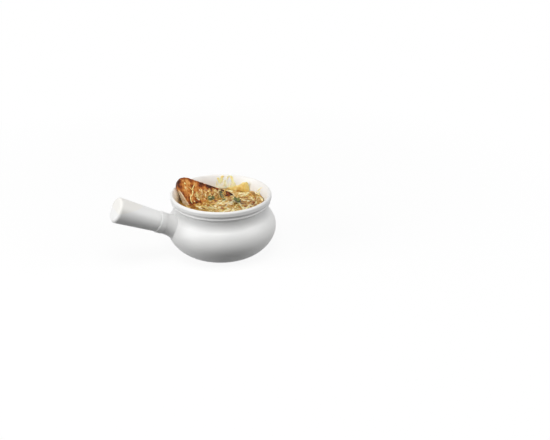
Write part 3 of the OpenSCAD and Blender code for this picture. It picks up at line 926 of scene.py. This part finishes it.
back_threads = wall_threads("wall_threads", [
    [(93.6, 0.1), (94.8, 0.5), (96.4, 0.84), 1.4, 0.3],
    [(93.4, 0.1), (92.4, 0.55), (90.2, 0.99), 1.7, 0.36],
    [(88.6, 0.1), (88.0, 0.4), (87.0, 0.66), 1.0, 0.1],
    [(86.4, 0.1), (85.2, 0.55), (83.0, 0.93), 1.4, 0.2],
    [(84.0, 0.86), (81.6, 0.98), (79.0, 0.92), 1.1, 0.15],
    [(76.4, 0.1), (77.2, 0.55), (79.8, 0.97), 2.0, 0.25],
    [(73.0, 0.0), (74.0, 0.3), (75.4, 0.5), 1.6, 0.1],
    [(98.4, 0.0), (98.0, 0.3), (98.6, 0.55), 0.9, 0.1],
    [(90.8, 0.1), (90.4, 0.4), (89.6, 0.7), 0.7, 0.2],
    [(80.0, 0.1), (79.0, 0.35), (78.2, 0.6), 0.9, 0.1],
])
place(back_threads, "crock", "pale_cheese", wisp_finish, "cheese_wisps")

# %% Film between the threads
FILM_FOOT = 1.5


def wall_film(name, angles, top_share, thick, seed, n=48, sides=20):
    """A thin sheet on the wall between two angles: its ragged top is a soft noise along the angle."""
    angle = np.radians(np.linspace(angles[0], angles[1], n + 2))
    ragged = 1 + 0.25 * waves(np.degrees(angle)[:, None], 5, seed)
    base = raft_top - FILM_FOOT
    tall = reach_up * top_share * np.maximum(np.sin(np.linspace(0, np.pi, n + 2)), 0.02) ** 0.6 * ragged
    turn = np.linspace(0, 2 * np.pi, sides, endpoint=False)
    up = (1 - np.cos(turn)) / 2
    depth = thick * (0.5 + 0.5 * np.sin(turn) * np.sqrt(1.02 - up))
    rings = on_wall(angle[1:-1, None], base + tall[1:-1, None] * up, depth)
    ends = [on_wall(angle[i], base + 0.2, 0.5 * thick)[None] for i in (0, -1)]
    return skin(name, rings[None], *ends, {"browning": 0.05 - 0.05 * up})


back_film = wall_film("wall_film", angles=(69, 103), top_share=0.66, thick=0.7, seed=72)
place(back_film, "crock", "pale_cheese", wisp_finish)

# %% Threads on the right
right_threads = wall_threads("right_wall_threads", [
    [(36, 0.3), (32, 0.55), (27.5, 0.8), 0.9, 0.0],
    [(33, 0.05), (31.5, 0.25), (30, 0.45), 0.8, 0.0],
])
place(right_threads, "crock", "pale_cheese", wisp_finish)

# %% [markdown]
# ## Folded cheese
# At the back right a slice of cheese folded up as it melted and stands in a peak. Cloth simulation could
# fold a sheet, but the peak has a known outline. So it is a wall of changing height carried round the bowl:
# thick at the foot, thin at the top, and wavy like a curtain.

# %% Folded peak
FOLD_CLEAR = 2.4
FOLD_SPAN = math.radians(16.8)
FOLD_LEAD = math.radians(4.6)
FOLD_LIFT = 0.4
CREST_PLACES = (-1.0, -0.95, -0.86, -0.6, -0.35, 0.0, 0.35, 1.0)
CREST_HEIGHTS = (0.3, 0.8, 1.0, 0.92, 0.75, 0.52, 0.37, 0.22)
fold_low, fold_high = corners("cheese_fold")
fold_at = math.atan2(fold_low[1] + fold_high[1], fold_low[0] + fold_high[0]) - FOOD_TURN
fold_r = soup_r - FOLD_CLEAR


def fold_rings(n=60, sides=44):
    """Loop of a thin wall at each station: up one face and down the other. u runs from the steep right end to
    the low left one, and the height, the lean and the wave change along it."""
    u = np.linspace(-1, 1, n)[:, None]
    turn = np.linspace(0, 2 * np.pi, sides, endpoint=False)
    up = (1 - np.cos(turn)) / 2
    tall = (fold_high[2] - soup_z) * np.interp(u, CREST_PLACES, CREST_HEIGHTS) * (1 + 0.03 * np.sin(9 * u))
    thick = (1.7 - 1.1 * up) * np.sin(turn) * (1 - 0.45 * u ** 6)
    wave = 0.7 * up * np.sin(3.6 * u + 0.4) - 1.0 * up ** 2 + 0.25 * np.sin(11 * u) * up
    angle = fold_at + FOLD_LEAD + FOLD_SPAN * u
    radius = fold_r + wave + thick + FOLD_CLEAR * ease(u, -0.7, -1.0)
    points = joined(*polar(radius, angle), soup_z + FOLD_LIFT + tall * up)
    # Painted light: the crest is made paler as a painted highlight, and the foot of the right part darker as a
    # painted shade
    painted_crest_highlight = 0.25 * ease(up, 0.5, 1.0)
    painted_foot_shade = 0.25 * ease(up, 0.45, 0.1) * ease(u, 0.4, -0.2)
    tone = 0.38 + 0.14 * waves(points, 7, 81) - painted_crest_highlight + painted_foot_shade
    return served(points), np.clip(tone, 0, 1)


# On the fold the browning attribute also carries the painted highlight on the crest and the painted shade at the
# foot
rings, tone = fold_rings()
fold = one_skin("cheese_peak", rings, browning=tone)
place(fold, "crock", "melted_cheese", fold_finish, "cheese_fold")

# %% [markdown]
# ## Toast
# A slice of baguette cut on the slant: a slab with rounded edges, an open crumb and a crust. A bevelled box
# with displacement would come near. But the outline has to be the solid's, so it comes from the support
# function, which is how far the slice reaches in each direction, with a small bulge added at the end in the
# air. The rings run from the middle of the face over the edge to the middle of the back, and noise opens
# the pores. The lower left side is cut on the slant, so its pale crumb shows.

# %% Outline of the slice
TOAST_ROUND = 280
DIRECTIONS = 720
LEAST_LEAN = 0.05
MID_ALONG, MID_ACROSS = 0.46, -0.38
BULGE, BULGE_AT, BULGE_SPREAD = 2.2, 160, 14
spin = np.linspace(0, 2 * np.pi, TOAST_ROUND, endpoint=False)
spin_degrees = np.degrees(spin)
toast_mid = np.array([MID_ALONG * toast_len, MID_ACROSS * toast_w])


def slice_outline(angle):
    """Radius of the outline about toast_mid: the least of h(d) / cos(angle - d) over directions d, with h the
    support function of the solid's own points."""
    facing = np.linspace(0, 2 * np.pi, DIRECTIONS, endpoint=False)
    a = slice_a - toast_a0 - toast_mid[0]
    b = slice_b - toast_b0 - toast_mid[1]
    support = (np.multiply.outer(a, np.cos(facing)) + np.multiply.outer(b, np.sin(facing))).max(axis=0)
    lean = np.cos(angle[:, None] - facing)
    return np.where(lean > LEAST_LEAN, support / np.maximum(lean, LEAST_LEAN), np.inf).min(axis=1)


outline = slice_outline(spin) + BULGE * np.exp(-((spin_degrees - BULGE_AT) / BULGE_SPREAD) ** 2)
print(f"outline from {outline.min():.1f} to {outline.max():.1f} mm about its middle")

# %% Slab with a slanted side
CRUST_R = 1.5
SLANT = 0.36
SLANT_STARTS, SLANT_ENDS = (164, 212), (330, 280)    # degrees round the slice
FACE_RINGS, EDGE_RINGS, SIDE_RINGS, BACK_RINGS = 64, 6, 7, 24


def slab_profile():
    """Stations from the face's middle to the back's: share of the face, reach past it, and depth."""
    bend = np.linspace(0, np.pi / 2, EDGE_RINGS + 1)
    face = np.linspace(0.015, 1, FACE_RINGS)
    back = np.linspace(1, 0.03, BACK_RINGS + 1)[1:]
    side = np.linspace(CRUST_R, toast_t - CRUST_R, SIDE_RINGS + 2)[1:-1]
    share = np.concatenate([face, np.ones(2 * EDGE_RINGS + SIDE_RINGS + 1), back])
    past = CRUST_R * np.concatenate([0 * face, np.sin(bend[1:]), np.ones(SIDE_RINGS), np.cos(bend), 0 * back])
    depth = np.concatenate([
        0 * face, CRUST_R * (1 - np.cos(bend[1:])), side, toast_t - CRUST_R * (1 - np.sin(bend)),
        0 * back + toast_t,
    ])
    return share[:, None], past[:, None], depth[:, None]


share, past, depth = slab_profile()
slant = SLANT * ease(spin_degrees, *SLANT_STARTS) * ease(spin_degrees, *SLANT_ENDS)
reach = share * (outline - CRUST_R + slant * depth) + past
a = toast_mid[0] + reach * np.cos(spin)
b = toast_mid[1] + reach * np.sin(spin)
print(f"slab of {len(share)} rings, {toast_t:.1f} mm thick")

# %% Pores and crust
spots = joined(a, b, -depth)
on_side = ease(past, 0.5, 1.4)
open_pores = ease(waves(spots, 3.4, 91), 0.75, 1.9)
small_pores = ease(waves(spots, 1.7, 92), 0.7, 1.8)
dents = 0.4 * open_pores + 0.22 * small_pores + 0.18 * waves(spots, 6, 93)
crust_lumps = 0.16 * waves(spots, 3, 94) * on_side
sink = np.where(depth < toast_t / 2, 1.0, -1.0) * np.clip(dents + 0.15, -0.05, 1.0) * (1 - on_side)
rings = on_toast(a + crust_lumps * np.cos(spin), b + crust_lumps * np.sin(spin), -depth - sink)
print(f"pores up to {sink.max():.2f} mm deep")

# %% Browning of the slice
rim_gap = (1 - share) * outline
upper = ease(np.sin(spin), -0.06, 0.24)
tip = ease(a, 9, 1)
scorched = ease(a, 19, 25) * ease(b, -6.5, -2.5)
foot_end = ease(b, -14, -22) * ease(a, 34, 24)
far_end = ease(a, 51, 56)
face_tone = 0.48 + 0.12 * waves(spots, 8, 95) + 0.06 * waves(spots, 2.6, 96)
face_tone = face_tone - 0.08 * open_pores + 0.05 * small_pores
face_tone = face_tone + ease(rim_gap, 3.2, 0.3) * (0.1 + 0.05 * upper + 0.22 * tip)
face_tone = face_tone + 0.22 * scorched + 0.16 * foot_end + 0.12 * far_end
burnt = ease(waves(spots, 5, 98), 0.6, 1.6) * ease(a, 26, 40)
side_tone = -0.02 + (0.52 + 0.28 * burnt + 0.38 * ease(a, 7, 1)) * upper + 0.05 * waves(spots, 3, 97)
toasting = np.clip(face_tone * (1 - on_side) + side_tone * on_side, 0, 1)
toast = one_skin("toast_baguette", rings, toasting=toasting)
place(toast, "toast", "toast", toast_finish, "toast_slice")

# %% [markdown]
# ## Cheese on the toast
# More cheese melted over the middle of the slice. Metaballs would run together like that, but not lie flat.
# Here the edge is the outer line of a few overlapping rounds, and a ray from the middle finds that line in
# every direction. Short grated strands lie on and round the patch. Thin threads run down the bare end of
# the slice and join, like a Y, with a few small bits beside them.

# %% Patch of cheese on the slice
PATCH_ROUNDS = np.array([(27.5, -12.0, 6.6), (35.5, -8.6, 6.9), (44.0, -6.6, 6.8), (50.0, -5.0, 4.6)])
PATCH_MID = np.array([41.0, -8.0])
PATCH_T = 1.1
PATCH_DEPTH = 1.4
PATCH_RINGS, PATCH_ROUND = 46, 220
PATCH_UNDER_STEP = 9


def patch_outline(angle):
    """Farthest point on a ray from PATCH_MID that is still inside one of the rounds."""
    ray = joined(*polar(1.0, angle))
    offset = PATCH_ROUNDS[:, :2] - PATCH_MID
    along = ray @ offset.T
    inside = PATCH_ROUNDS[:, 2] ** 2 - ((offset ** 2).sum(axis=1) - along ** 2)
    return np.where(inside > 0, along + np.sqrt(np.maximum(inside, 0)), 0).max(axis=1)


sweep = np.linspace(0, 2 * np.pi, PATCH_ROUND, endpoint=False)
edge = patch_outline(sweep) * (1 + 0.06 * np.sin(9 * sweep + 1) + 0.05 * np.sin(17 * sweep))
share = np.linspace(0.015, 1, PATCH_RINGS)[:, None]
a = PATCH_MID[0] + share * edge * np.cos(sweep)
b = PATCH_MID[1] + share * edge * np.sin(sweep)
spots = joined(a, b)
thick = PATCH_T * (1 - share ** 4) * (0.6 + 0.4 * waves(spots, 5, 102)) - 0.25 * share ** 4
under = on_toast(a[::-PATCH_UNDER_STEP], b[::-PATCH_UNDER_STEP], -PATCH_DEPTH)
rings = np.concatenate([on_toast(a, b, thick), under])
browning = 0.58 + 0.16 * waves(spots, 6, 103) + 0.14 * waves(spots, 2.4, 104) + 0.15 * ease(b, -5, 1)
browning = np.clip(np.concatenate([browning, browning[::-PATCH_UNDER_STEP]]), 0, 1)
patch = one_skin("toast_cheese_melt", rings, browning=browning)
place(patch, "toast", "melted_cheese", gratin_finish, "toast_cheese")

# %% Threads on the slice
STRAND_STATIONS = 16


def toast_strands(name, routes, half, flat, tone, seed):
    """Ellipses carried along parabolas through three places (a, b) each on the face of the slice."""
    route = through_three(routes, STRAND_STATIONS + 2)
    path = on_toast(route[..., 0], route[..., 1], 0.1 + 0.9 * flat * half[:, None])
    run = np.gradient(path, axis=1)
    side = np.cross(np.broadcast_to(toast_up, run.shape), run)[:, 1:-1]
    side /= np.linalg.norm(side, axis=-1, keepdims=True)
    size = half[:, None] * taper(STRAND_STATIONS) * (1 + 0.2 * waves(route[:, 1:-1], 3, seed))
    above = np.broadcast_to(toast_up, side.shape)
    rings = carry(path[:, 1:-1], side, above, size, flat * size, sides=6)
    return skin(name, rings, path[:, 0], path[:, -1], {"browning": tone[:, None, None]})


Y_THREADS = np.array([
    [(17.9, -1.9), (17.1, -5.4), (16.4, -9.4)],
    [(11.4, -6.9), (14.0, -7.6), (16.6, -9.8)],
    [(16.5, -8.4), (17.9, -12.6), (17.1, -17.0)],
    [(17.2, -15.8), (17.0, -20.0), (20.2, -25.2)],
    [(5.6, -3.4), (6.8, -4.0), (7.8, -5.0)],
    [(7.8, -7.8), (8.6, -9.0), (8.8, -10.2)],
    [(23.6, -16.9), (25.4, -18.1), (27.8, -18.4)],
    [(21.2, -21.2), (22.0, -21.8), (22.8, -22.2)],
])
Y_HALF = np.array([0.6, 0.45, 0.65, 0.65, 0.8, 0.8, 0.95, 0.8])
Y_TONES = np.array([0.48, 0.5, 0.44, 0.48, 0.56, 0.5, 0.26, 0.4])
threads = toast_strands("toast_threads", Y_THREADS, Y_HALF, flat=0.4, tone=Y_TONES, seed=111)
place(threads, "toast", "pale_cheese", wisp_finish)

# %% Grated strands on the slice
GRATED = 80
UPPER_EDGE = ((20, 25, 32, 40, 46, 64), (-12, -8.4, -5.2, -2.4, -0.2, 0.6))
LOWER_EDGE = ((20, 30, 64), (-15, -16, -3.5))
draw = np.random.default_rng(14)
a = draw.uniform(22, 55, GRATED)
high = np.interp(a, *UPPER_EDGE)
low = np.interp(a, *LOWER_EDGE)
middle = joined(a, low + (high - low) * draw.uniform(0.0, 0.9, GRATED))
heading = draw.normal(-1.25, 0.45, GRATED)
ahead = joined(*polar(1.0, heading)) * draw.uniform(1.8, 4.2, GRATED)[:, None]
bulge = joined(-ahead[:, 1], ahead[:, 0]) * draw.uniform(-0.25, 0.25, GRATED)[:, None]
routes = np.stack([middle - ahead, middle + bulge, middle + ahead], axis=1)
half = draw.uniform(0.5, 0.95, GRATED)
tone = draw.uniform(0.08, 0.6, GRATED)
grated = toast_strands("toast_grated", routes, half, flat=0.6, tone=tone, seed=112)
place(grated, "toast", "melted_cheese", gratin_finish)

# %% [markdown]
# ## Thyme
# Three sprigs: a thin woody stem with pairs of small pointed leaves and three at the tip. Leaf pictures on
# flat cards would do from afar, but they turn into lines seen edge on. So a leaf is a flat oval carried
# along a drooping line, with its edges cupped. Two sprigs lie on the toast and lift with it, and one lies
# on the raft.

# %% Stem and leaves of a sprig
STEM_D = 0.9
STEM_STATIONS, LEAF_STATIONS = 16, 9
WOOD_TONE = 0.96
LEAF_T = 0.28
TIP_LEAVES = (0.55, -0.5, 0.05)
BODY_OF = {node: body for body, nodes in frame["record"]["behaviour"]["bodies"].items() for node in nodes}


def stem_line(origin, along, side, up, length, stalk, stem_d):
    """Stations t along the stem and its points: a bow to the side, sines of t, and an arch that eases up."""
    t = np.linspace(-length / 2 - stalk, length / 2, STEM_STATIONS + 2)
    bow = 0.9 * np.sin((t + length / 2) / length * 2.2) * (t > -length / 2) + 0.35 * np.sin(t / 3)
    arch = stem_d * 0.5 + 0.7 * ease(t, -length / 2, length / 2)
    points = origin + np.multiply.outer(t, along) + np.multiply.outer(bow, side) + np.multiply.outer(arch, up)
    return t, points


def leaf_shapes(foot, out, up, leaf, size):
    """Rings and both ends of leaves: ovals along foot + s out, drooping with s squared, edges cupped."""
    flat = np.cross(np.broadcast_to(up, out.shape), out)
    flat /= np.linalg.norm(flat, axis=-1, keepdims=True)
    normal = np.cross(out, flat)
    s = np.linspace(0, 1, LEAF_STATIONS + 2)
    line = foot[:, None] + out[:, None] * (s[:, None] * (leaf * size)[:, None, None])
    line = line - normal[:, None] * (0.9 * size[:, None, None] * (s ** 2)[:, None])
    blade = np.sin(np.pi * s[1:-1] ** 0.85) ** 0.7
    half = 0.26 * leaf * size[:, None] * blade
    inner = line[:, 1:-1]
    broad, over = (np.broadcast_to(axis[:, None], inner.shape) for axis in (flat, normal))
    return carry(inner, broad, over, half, np.full(half.shape, LEAF_T / 2), cup=0.25), line[:, 0], line[:, -1]


def sprig(name, origin, along, up, length, stalk, pairs, leaf, seed, stem_d=STEM_D):
    """A stem of a length and a bare stalk, with pairs of leaves spread to both sides and three at the tip."""
    draw = np.random.default_rng(seed)
    along, up = (np.asarray(v, float) / np.linalg.norm(v) for v in (along, up))
    side = np.cross(up, along)
    t, stem = stem_line(origin, along, side, up, length, stalk, stem_d)
    inner = stem[None, 1:-1]
    half = np.full((1, STEM_STATIONS), stem_d / 2)
    rings = carry(inner, np.broadcast_to(side, inner.shape), np.broadcast_to(up, inner.shape), half, half)
    wood = skin(name + "_stem", rings, stem[:1], stem[-1:], {"tone": WOOD_TONE})
    place(wood, BODY_OF[name], "thyme", thyme_finish)

    count = 2 * pairs + len(TIP_LEAVES)
    paired = np.repeat(np.linspace(-0.45, 0.42, pairs), 2)
    station = np.concatenate([paired, np.full(len(TIP_LEAVES), 0.5)]) * length
    to_sides = np.tile([1.0, -1.0], pairs) * draw.uniform(0.5, 1.45, 2 * pairs)
    spread = np.concatenate([to_sides, TIP_LEAVES])
    raise_by = draw.uniform(0.05, 0.7, count)
    foot = np.stack([np.interp(station, t, stem[:, i]) for i in range(3)], axis=-1)
    out = np.multiply.outer(np.cos(spread), along) + np.multiply.outer(np.sin(spread), side)
    out = out * np.cos(raise_by)[:, None] + np.multiply.outer(np.sin(raise_by), up)
    shapes = leaf_shapes(foot, out, up, leaf, draw.uniform(0.65, 1.15, count))
    tone = np.clip(draw.uniform(-0.1, 0.65, count), 0, 1)[:, None, None]
    leaves = skin(name + "_leaves", *shapes, {"tone": tone})
    place(leaves, BODY_OF[name], "thyme", thyme_finish, name)


# %% Three sprigs
RIGHT_STEM_D = 1.4


def heading_on_toast(turn):
    """Direction in the face of the slice, turn degrees from its length towards its width."""
    return math.cos(math.radians(turn)) * toast_along + math.sin(math.radians(turn)) * toast_across


def on_soup(right, away, above):
    """Point above the raft, in the model's frame."""
    return served((right, away, soup_z + float(raft_rise(right, away)) + above))


middle_low = on_soup(2.6, 4.0, 0.8)
middle_high = on_toast(50.8, -3.0, 1.6)
right_middle = on_soup(19.2, -1.0, 1.1)
right_end = on_soup(25.6, -17.6, 2.2)
sprig(
    "thyme_left", on_toast(38.2, -13.6, 1.4), heading_on_toast(12), toast_up,
    length=4.6, stalk=0, pairs=3, leaf=3.7, seed=121
)
sprig(
    "thyme_middle", (middle_low + middle_high) / 2, middle_high - middle_low, toast_up,
    length=15, stalk=0, pairs=4, leaf=4.6, seed=122
)
sprig(
    "thyme_right", right_middle, right_middle - right_end, (0, 0, 1),
    length=6, stalk=15, pairs=3, leaf=6.4, seed=123, stem_d=RIGHT_STEM_D
)
